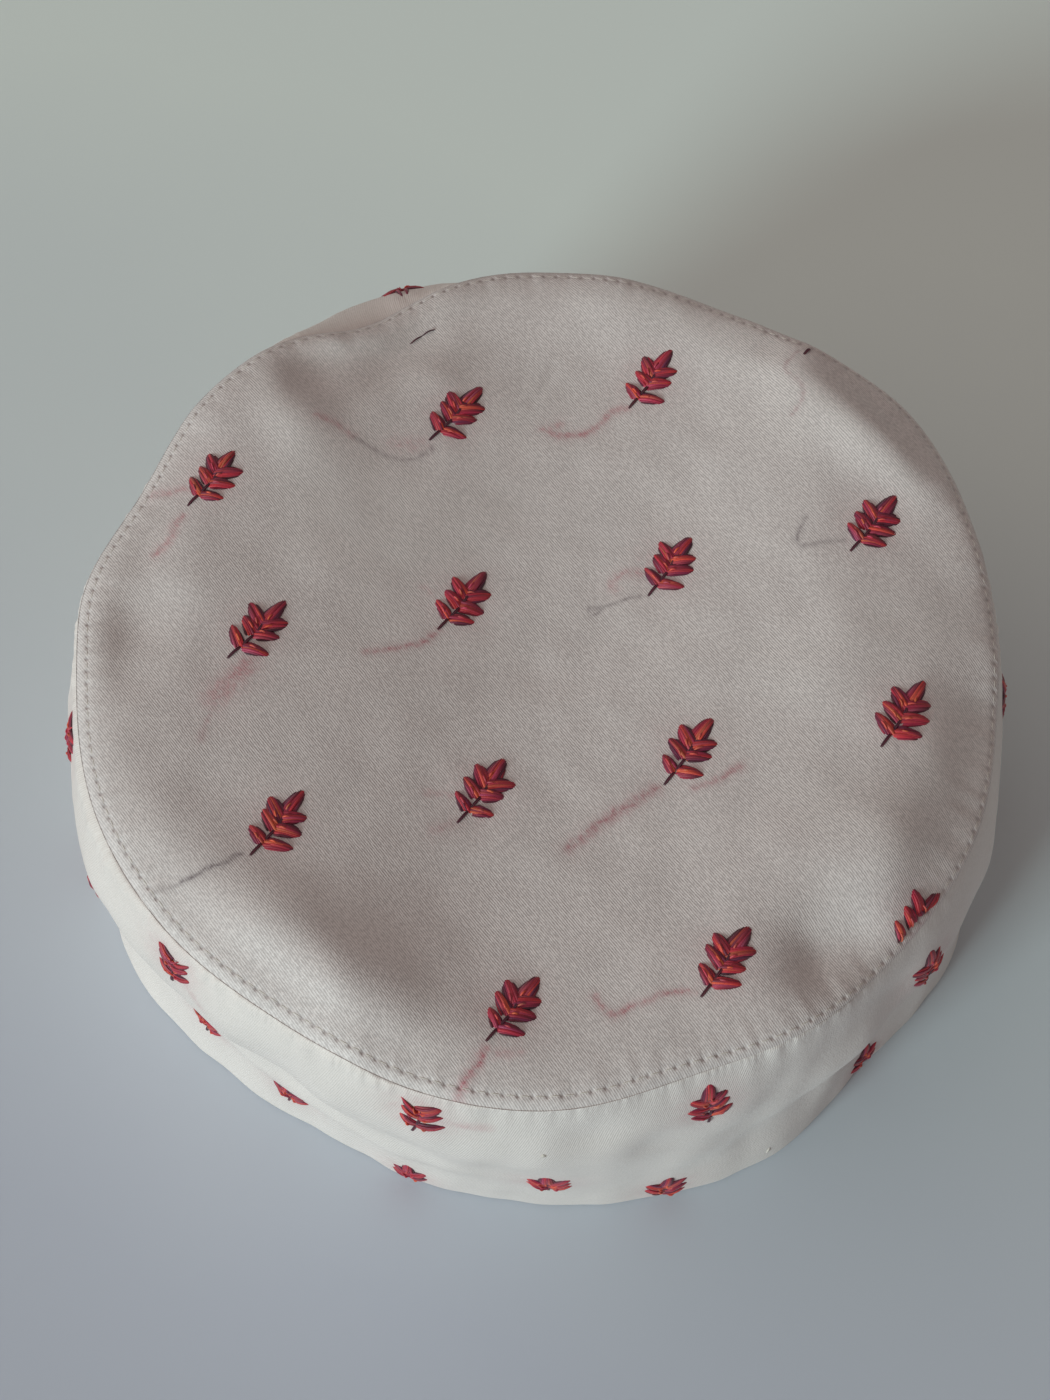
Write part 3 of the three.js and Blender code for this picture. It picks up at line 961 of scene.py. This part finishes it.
# %% [markdown]
# ## The sprigs on the crown
# The sprigs stand in slanting rows and lean the same way. Their places, in millimetres from the middle,
# follow the picture. Chance turns and scales each of them a little, and its source is seeded, so that
# every run gives the same cap. The seam cuts the sprigs at the edge, so their strands end at the row of
# topstitches.

# %% Put the sprigs on the crown
SPRIG_LEAN = 56
CROWN_SPRIGS = [
    (-65.2, 37.2), (-17.1, 53.9), (22.8, 61.5), (-54.8, 3.2), (-15.2, 11.1), (25.6, 18.5), (65.5, 25.5),
    (-48.9, -37.4), (-10.9, -29.3), (27.9, -21.9), (68.7, -15.2), (-5.2, -72.5), (33.3, -64.0),
    (70.0, -55.0), (58.6, 70.6),
]


def turned(point, degrees, scale):
    turn = math.radians(degrees)
    x, y = point
    across = x * math.cos(turn) - y * math.sin(turn)
    up = x * math.sin(turn) + y * math.cos(turn)
    return np.array([across, up]) * scale


def placed(stitches, place, degrees, scale, to_surface):
    """The stitches turned and scaled about their middle, at a place of the crown or the band."""
    made = []
    for stitch in stitches:
        start = to_surface(np.array(place), turned(stitch["start"], degrees, scale))
        end = to_surface(np.array(place), turned(stitch["end"], degrees, scale))
        made.append({**stitch, "start": start, "end": end})
    return made


def flat_crown(place, offset):
    return place + offset


CUT_STEPS = 13
FEWEST_STEPS = 4


def cut_at_seam(stitch):
    """The stitch up to where it would cross the row of topstitches, or None if little is left."""
    steps = np.linspace(stitch["start"], stitch["end"], CUT_STEPS)
    azimuth, radius = polar(steps + CENTRE)
    inside = steps[radius < seam_radius(azimuth) - stitch_inset(azimuth)]
    if len(inside) < FEWEST_STEPS:
        return None
    return {**stitch, "start": inside[0], "end": inside[-1]}


chance = random.Random(8)
crown_stitches = []
for place in CROWN_SPRIGS:
    crown_stitches += placed(sprig(chance), place, SPRIG_LEAN - 90 + chance.uniform(-4, 4),
                             chance.uniform(0.99, 1.05), flat_crown)
crown_stitches = [stitch for stitch in map(cut_at_seam, crown_stitches) if stitch]
crown_sprigs = lay("crown_sprigs", crown_stitches, on_crown)

# %% [markdown]
# ## The sprigs on the band
# The rows carry on round the band, upright. The picture shows only the front of it, and the places behind
# keep the same spacing. A place is an azimuth and a height, and the band's radius turns the width of a
# sprig into degrees. Strands that reach past the seam or the rim are left out.

# %% Put the sprigs on the band
BAND_SPRIGS = [
    (-171.6, 65), (-138.5, 66), (-103.8, 65.5), (-70.3, 60.5), (-37, 51), (-1, 57), (35, 62), (71, 62),
    (107.5, 62.5), (127, 60), (154, 60), (-156, 47), (-125.3, 18), (-89, 27), (-19, 30), (17, 33),
    (53, 33), (89, 34), (141, 33), (171, 36), (-171.6, 8), (-140, 21), (-107.3, 4), (-73.7, 5), (-41.5, 4),
    (-1, 6), (35, 7), (71, 6), (107, 9), (154, 8),
]


def round_band(place, offset):
    return np.array([place[0] + math.degrees(offset[0] / BAND_RADIUS), place[1] + offset[1]])


band_stitches = []
for place in BAND_SPRIGS:
    band_stitches += placed(sprig(chance), place, chance.uniform(-8, 8), chance.uniform(0.93, 1.0),
                            round_band)
band_stitches = [stitch for stitch in band_stitches
                 if all(1.5 < stitch[end][1] < 70 for end in ("start", "end"))]
band_sprigs = lay("band_sprigs", band_stitches, on_band)

# %% [markdown]
# ## The wrong side of the embroidery
# Inside the cap the backs of the sprigs show, plainer than their fronts, and the floss runs on from one
# place to the next. The backs are the same drawing with fewer strands, laid on the inner face by rays from
# inside, and each carried thread is a chain of strands along its line.

# %% Lay the backs of the sprigs and the carried threads


def sprig_back(chance):
    """The stem as one strand, and two strands for each leaflet."""
    foot, top = np.array(SPRIG_STEM[0]), np.array(SPRIG_STEM[-1])
    made = [stitch_between(foot, top, 0.22, 0.2, (PLUM, PLUM), chance)]
    for leaf in LEAFLETS:
        base, tip = np.array(leaf["base"]), np.array(leaf["tip"])
        for apart in (-0.45, 0.45):
            made.append(stitch_between(base + (0, apart), tip + (0, apart * 0.6), 0.28, 0.25,
                                       (CRIMSON, chance.choice((PLUM, CRIMSON, SCARLET))), chance))
    return made


BACK_SCALE = 0.9

backs = []
for place in CROWN_SPRIGS:
    backs += placed(sprig_back(chance), place, SPRIG_LEAN - 90, BACK_SCALE, flat_crown)
backs = [stitch for stitch in map(cut_at_seam, backs) if stitch]
for run in CARRIED:
    line = run["line"][::3]
    for start, end in zip(line, line[1:]):
        if np.linalg.norm(end - start) > 0.4:
            overlapping = start + (end - start) * 1.08
            backs.append(stitch_between(start, overlapping, 0.2, 0.12, (CRIMSON, PLUM), chance))
crown_sprig_backs = lay("crown_sprig_backs", backs, under_crown)

backs = []
for place in BAND_SPRIGS:
    backs += placed(sprig_back(chance), place, 0, BACK_SCALE, round_band)
backs = [stitch for stitch in backs if all(13.5 < stitch[end][1] < 66 for end in ("start", "end"))]
band_sprig_backs = lay("band_sprig_backs", backs, in_band)

# %% [markdown]
# ## The hem stitches and the loose ends
# The rim is turned up inside and held by a row of small slanting stitches that don't come through to the
# front. On the crown lies one loose end of dark floss, and a few pale fibres cling to the band.

# %% Sew the hem and drop the loose ends
HEM_STITCHES = 165
HEM_STITCH_HEIGHT = 10.8
FLUFF = (0.80, 0.77, 0.74)
FIBRE_ENDS = [
    ((-89.9, 55.2), (-89.3, 56.0)),
    ((-89.4, 55.1), (-89.7, 56.2)),
    ((-59.6, 5.0), (-59.3, 7.4)),
]

hem_row = []
for number in range(HEM_STITCHES):
    azimuth = 360 * number / HEM_STITCHES
    hem_row.append({"start": (azimuth, HEM_STITCH_HEIGHT - 0.7),
                    "end": (azimuth + 0.8, HEM_STITCH_HEIGHT + 0.9),
                    "half_width": 0.16, "half_height": 0.13, "arch": 0.12, "sunk": 0.08,
                    "colours": (COTTON, COTTON)})
hem_stitches = lay("hem_stitches", hem_row, in_band)

loose_thread = lay("loose_thread", [
    stitch_between((-26.8, 72.0), (-23.9, 74.3), 0.15, 0.35, (MAROON, MAROON), chance),
    stitch_between((-24.3, 74.1), (-21.3, 75.7), 0.13, 0.45, (MAROON, MAROON), chance),
], on_crown)
stray_fibres = lay("stray_fibres", [
    {"start": start, "end": end, "half_width": 0.34, "half_height": 0.16, "arch": 0.1, "sunk": 0.0,
     "colours": (FLUFF, FLUFF)}
    for start, end in FIBRE_ENDS
], on_band)

# %% [markdown]
# ## The sateen
# Sateen has long threads floating on its face, stepped in fine slanting lines, so it shows a grain of short
# glints and a soft sheen. Besides their bump and gloss, the floats are painted lighter than the gaps, as
# painted glints and painted shade of the weave. The pattern runs in millimetres: on the crown from Object
# coordinates, turned to the line of the sprigs, and on the band from a UV map of its own, turned by 45
# degrees as the strip was cut. Floss that runs behind the cloth tints it in the gaps of the weave, and the
# painted shade of the needle pits darkens it the same way.

# %% Weave the sateen
TWILL = 0.43
ACROSS_TWILL = (0.890, 0.455)
CROWN_TURN = -10.9
BIAS_TURN = 45
PINK_BEHIND = (0.52, 0.185, 0.215, 1)
# This dark colour is the floss behind the cloth, and also the painted shade in the needle pits.
DARK_BEHIND_AND_PIT_SHADE = (0.17, 0.13, 0.145, 1)


def sateen(name, flat_place, light, dark, grain_and_glint):
    cloth = Finish(name)
    x, y = flat_place(cloth)
    across = x * ACROSS_TWILL[0] + y * ACROSS_TWILL[1]
    along = x * ACROSS_TWILL[1] - y * ACROSS_TWILL[0]
    wobble = cloth.noise(cloth.place(x * 0.1, y * 0.1, 0.0), 1.0) - 0.5
    twill = (across * (2 * math.pi / TWILL) + wobble * 6.0).sine() * 0.5 + 0.5
    dashes = cloth.noise(cloth.place(across * 2.2, along * 0.75, 0.0), 1.0, 2.0, 0.6)
    speckle = cloth.noise(cloth.place(x * 1.3, y * 1.6, 3.0), 1.0, 2.0, 0.6)
    mottle = cloth.noise(cloth.place(x * 0.06, y * 0.06, 0.0), 1.0, 3.0, 0.6)
    yarn_and_glints = (twill * 0.6 + dashes * 1.7 + speckle * 1.1 - 1.25).clamp()
    # Painted glints: the floats are painted lighter and the gaps darker, as painted glints and shade of the
    # weave, besides their bump and gloss.
    plain = cloth.mix((0.5 + (yarn_and_glints - 0.45) * grain_and_glint + (mottle - 0.5) * 0.9).clamp(), dark, light)
    gaps = (speckle * 0.6 + dashes * 0.4) * 3.4 - 0.7
    pink = cloth.out("ShaderNodeAttribute", {"attribute_name": "tint_pink"}, output=2)
    # The dark tint holds dark floss behind the cloth and the painted shade of the needle pits.
    dark_threads_and_pit_shade = cloth.out("ShaderNodeAttribute", {"attribute_name": "tint_dark"}, output=2)
    stained_and_pit_shaded = cloth.mix((pink * gaps).clamp(), plain, PINK_BEHIND)
    stained_and_pit_shaded = cloth.mix((dark_threads_and_pit_shade * gaps).clamp(), stained_and_pit_shaded, DARK_BEHIND_AND_PIT_SHADE)
    cloth.plug(cloth.shader, {
        "Base Color": stained_and_pit_shaded,
        "Roughness": 0.66 - yarn_and_glints * 0.2,
        "Normal": cloth.bump(yarn_and_glints, 0.4, 0.00014),
        "Sheen Weight": 0.22,
        "Sheen Roughness": 0.45,
        "Sheen Tint": (1.0, 0.96, 0.94, 1),
    })
    return cloth


def turned_place(cloth, spot, degrees):
    """Two coordinates in millimetres, turned by some degrees."""
    flat = cloth.out("ShaderNodeMapping", None,
                     {"Vector": spot, "Rotation": (0, 0, math.radians(degrees)), "Scale": (1000, 1000, 1000)})
    return cloth.parts(flat)[:2]


def crown_place(cloth):
    return turned_place(cloth, cloth.out("ShaderNodeTexCoord", output=3), CROWN_TURN)


def band_place(cloth):
    return turned_place(cloth, cloth.out("ShaderNodeUVMap", {"uv_map": "unrolled"}), BIAS_TURN)


crown_sateen = sateen("crown_sateen", crown_place, (0.79, 0.71, 0.70, 1), (0.565, 0.503, 0.498, 1), 1.5)
band_sateen = sateen("band_sateen", band_place, (0.85, 0.765, 0.735, 1), (0.71, 0.635, 0.61, 1), 0.5)
crown_cloth.data.materials.append(crown_sateen.material)
band_cloth.data.materials.append(band_sateen.material)
print("the crown's sateen has", len(crown_sateen.tree.nodes), "nodes")

# %% [markdown]
# ## The band unrolled
# The weave of the band follows the strip of cloth, not the room. So the band is unrolled into a UV map,
# which says how far round it a point lies and how high. Blender's cylinder projection could do this too,
# but here the map is in metres, so that the weave has its true size. A face that crosses the start of the
# map has its low corners moved on by a full turn, or the whole pattern would be squeezed into it.

# %% Unroll the band


def unroll(cloth):
    """A UV map in metres: how far round the band, and how high."""
    layer = cloth.data.uv_layers.new(name="unrolled")
    points = points_of(cloth)
    azimuth, _ = polar(points)
    azimuth = (azimuth - 90) % 360
    corner_vertex = np.zeros(len(cloth.data.loops), dtype=np.int64)
    cloth.data.loops.foreach_get("vertex_index", corner_vertex)
    corner_azimuth = azimuth[corner_vertex]
    for face in cloth.data.polygons:
        corners = corner_azimuth[face.loop_start:face.loop_start + face.loop_total]
        if corners.max() - corners.min() > 180:
            corner_azimuth[face.loop_start:face.loop_start + face.loop_total] = np.where(
                corners < 180, corners + 360, corners)
    flat = np.column_stack([np.radians(corner_azimuth) * BAND_RADIUS, points[corner_vertex, 2]]) * MM
    layer.data.foreach_set("uv", flat.ravel())
    print("the band unrolls to", np.ptp(flat[:, 0]).round(3), "by", np.ptp(flat[:, 1]).round(3), "m")


unroll(band_cloth)

# %% [markdown]
# ## Threads that show through, and painted shade in the pits
# The floss that is carried behind the cloth shows through it, pink where it lies loose and dark where it is
# drawn tight, and its dye has tinted the cloth round the sprigs. How near a point of the cloth lies to such a
# thread is stored on the mesh, and the sateen reads it as a stain. The needle pits of the topstitches get the
# same dark tint, as painted shade in the pits.

# %% Store the stains and the painted pit shade on both cloths
BAND_TRAILS = [
    {"pink": 0.55, "width": 1.4, "path": [(-101.5, 64.6), (-96.2, 64.9)]},
    {"pink": 0.45, "width": 1.4, "path": [(-137.0, 63.0), (-134.0, 58.0)]},
]


def store_tint(cloth, name, values):
    layer = cloth.data.attributes.new(name, "FLOAT", "POINT")
    layer.data.foreach_set("value", values.astype(np.float32))


def flat_noise(flat, size, seed):
    return unevenness(np.column_stack([flat / size, flat[:, 0] * 0]), seed)


points = points_of(crown_cloth)
flat = points[:, :2] - CENTRE
patchy = np.clip(0.85 + 0.8 * flat_noise(flat, 0.9, 41.0), 0.2, 1.4)
wander = 0.45 * np.column_stack([flat_noise(flat, 3.0, 43.0), flat_noise(flat, 3.0, 47.0)])
stains_and_pit_shade = {"pink": np.zeros(len(flat)), "dark": np.zeros(len(flat))}
for run in CARRIED:
    away = distance_to_path(flat + wander, run["line"])
    for tint, stain in stains_and_pit_shade.items():
        mark = run[tint] * (0.62 * hill(away, 0.8 * run["width"]) + 0.12 * hill(away, 2.2 * run["width"]))
        stains_and_pit_shade[tint] = np.maximum(stain, mark * patchy)
for place in CROWN_SPRIGS:
    glow = 0.2 * hill(np.linalg.norm(flat - place, axis=1), 6.5) * patchy
    stains_and_pit_shade["pink"] = np.maximum(stains_and_pit_shade["pink"], glow)
# Painted shade: the needle pits of the topstitches are darkened in the dark tint.
azimuth, radius = polar(points)
from_pit = pit_distance(azimuth, seam_radius(azimuth) - radius - stitch_inset(azimuth))
stains_and_pit_shade["dark"] = np.maximum(stains_and_pit_shade["dark"], 0.3 * hill(from_pit, 0.42))
for tint, stain in stains_and_pit_shade.items():
    store_tint(crown_cloth, "tint_" + tint, stain)
    print("the crown's", tint, "stain reaches", stain.max().round(2))

points = points_of(band_cloth)
azimuth, _ = polar(points)
unrolled = np.column_stack([np.radians(azimuth) * BAND_RADIUS, points[:, 2]])
stain = np.zeros(len(points))
for place, height in BAND_SPRIGS:
    along_band = np.radians(turn_between(azimuth, place)) * BAND_RADIUS
    stain = np.maximum(stain, 0.26 * hill(np.hypot(along_band, points[:, 2] - height), 7.0))
for trail in BAND_TRAILS:
    path = np.array(trail["path"]) * (math.radians(1) * BAND_RADIUS, 1)
    away = distance_to_path(unrolled, path)
    stain = np.maximum(stain, 0.6 * trail["pink"] * hill(away, trail["width"]))
stain *= np.clip(0.9 + 0.8 * unevenness(points / 1.8, 53.0), 0.2, 1.4)
store_tint(band_cloth, "tint_pink", stain)
store_tint(band_cloth, "tint_dark", np.zeros(len(points)))
print("the band's stain reaches", stain.max().round(2))

# %% [markdown]
# ## The floss
# Silk floss is smooth and has a soft gloss along it, and the cotton thread is duller. The floss changes
# its colour along each strand, so its colour is stored on the strands, where the material reads it. Fine
# noise frays both a little.

# %% Dye the floss and the cotton thread


def thread(name, roughness):
    floss = Finish(name)
    colour = floss.out("ShaderNodeVertexColor", {"layer_name": "floss_colour"})
    spot = floss.out("ShaderNodeTexCoord", output=3)
    fray = floss.noise(spot, 2600.0, 2.0)
    floss.plug(floss.shader, {
        "Base Color": floss.mix(fray * 0.3, colour, (0.09, 0.01, 0.04, 1)),
        "Roughness": roughness + 0.2 * fray,
        "Normal": floss.bump(fray, 0.4, 0.0001),
        "Sheen Weight": 0.1,
    })
    return floss


silk = thread("silk_floss", 0.42)
cotton = Finish("cotton_thread")
spot = cotton.out("ShaderNodeTexCoord", output=3)
twist = cotton.noise(spot, 3000.0, 1.0)
cotton.plug(cotton.shader, {
    "Base Color": cotton.mix(twist, (0.68, 0.62, 0.57, 1), (0.56, 0.50, 0.45, 1)),
    "Roughness": 0.6 + 0.15 * twist,
    "Normal": cotton.bump(twist, 0.3, 0.0001),
})
for piece in (crown_sprigs, band_sprigs, crown_sprig_backs, band_sprig_backs, loose_thread):
    piece.data.materials.append(silk.material)
for piece in (topstitches, hem_stitches, stray_fibres):
    piece.data.materials.append(cotton.material)
print("the threads are dyed in", silk.material.name, "and", cotton.material.name)
